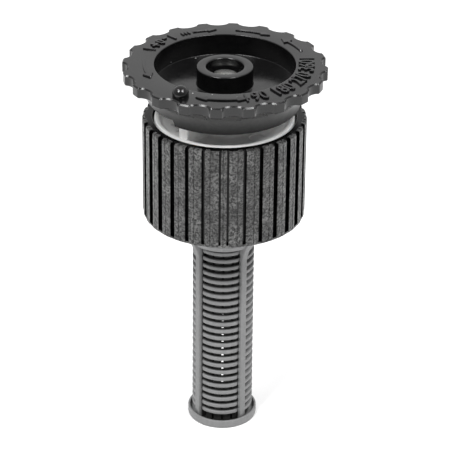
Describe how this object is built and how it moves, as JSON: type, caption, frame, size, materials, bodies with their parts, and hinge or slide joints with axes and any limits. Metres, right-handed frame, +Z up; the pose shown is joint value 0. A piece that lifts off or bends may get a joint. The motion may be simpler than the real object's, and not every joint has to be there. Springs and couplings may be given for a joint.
{
  "type": "pop-up sprinkler spray nozzle",
  "caption": "Adjustable-arc spray nozzle with a filter screen for a pop-up sprinkler riser: scalloped turning collar, ribbed threaded skirt, radius screw and snap-in filter tube.",
  "frame": {"origin": "on the nozzle's axis, in the plane where the riser's top end bears on the gasket inside the skirt", "axes": "+Z up along the axis, from the filter to the marked collar; -Y is the side that faces the viewer"},
  "size_m": [0.0286, 0.0286, 0.0587],
  "materials": {
    "black_plastic": "moulded, half gloss",
    "grained_black_plastic": "spark-eroded grain",
    "pale_plastic": "moulded, satin",
    "grey_plastic": "moulded, satin",
    "seal_rubber": "matt",
    "stainless_steel": "turned"
  },
  "bodies": {
    "nozzle_body": {"ribbed_skirt": "grained_black_plastic", "nozzle_plate": "pale_plastic", "riser_gasket": "seal_rubber", "plate_seal": "seal_rubber", "screw_seal": "seal_rubber", "thrust_washer": "stainless_steel"},
    "collar_rise": {"collar_seal": "seal_rubber"},
    "arc_collar": {"arc_collar": "black_plastic"},
    "radius_screw": {"radius_screw": "stainless_steel", "retaining_clip": "stainless_steel"},
    "throttle": {"throttle_nut": "black_plastic"},
    "filter": {"filter_screen": "grey_plastic", "filter_end_cap": "grey_plastic"}
  },
  "joints": [
    {"name": "collar_lift", "type": "slide", "parent": "nozzle_body", "child": "collar_rise", "axis": [0, 0, 1], "range_m": [0, 0.00097]},
    {"name": "arc_adjust", "type": "hinge", "parent": "collar_rise", "child": "arc_collar", "pos_m": [0, 0, 0], "axis": [0, 0, 1], "range_deg": [0, 330]},
    {"name": "radius_adjust", "type": "hinge", "parent": "nozzle_body", "child": "radius_screw", "pos_m": [0, 0, 0], "axis": [0, 0, -1], "range_deg": [0, 1190]},
    {"name": "throttle_travel", "type": "slide", "parent": "nozzle_body", "child": "throttle", "axis": [0, 0, 1], "range_m": [0, 0.00264]},
    {"name": "filter_pull", "type": "slide", "parent": "nozzle_body", "child": "filter", "axis": [0, 0, -1], "range_m": [0, 0.015]}
  ],
  "couplings": [
    {"joint": "collar_lift", "follows": "arc_adjust", "m_per_rad": 0.00016711},
    {"joint": "radius_adjust", "follows": "throttle_travel", "rad_per_m": 7854}
  ]
}
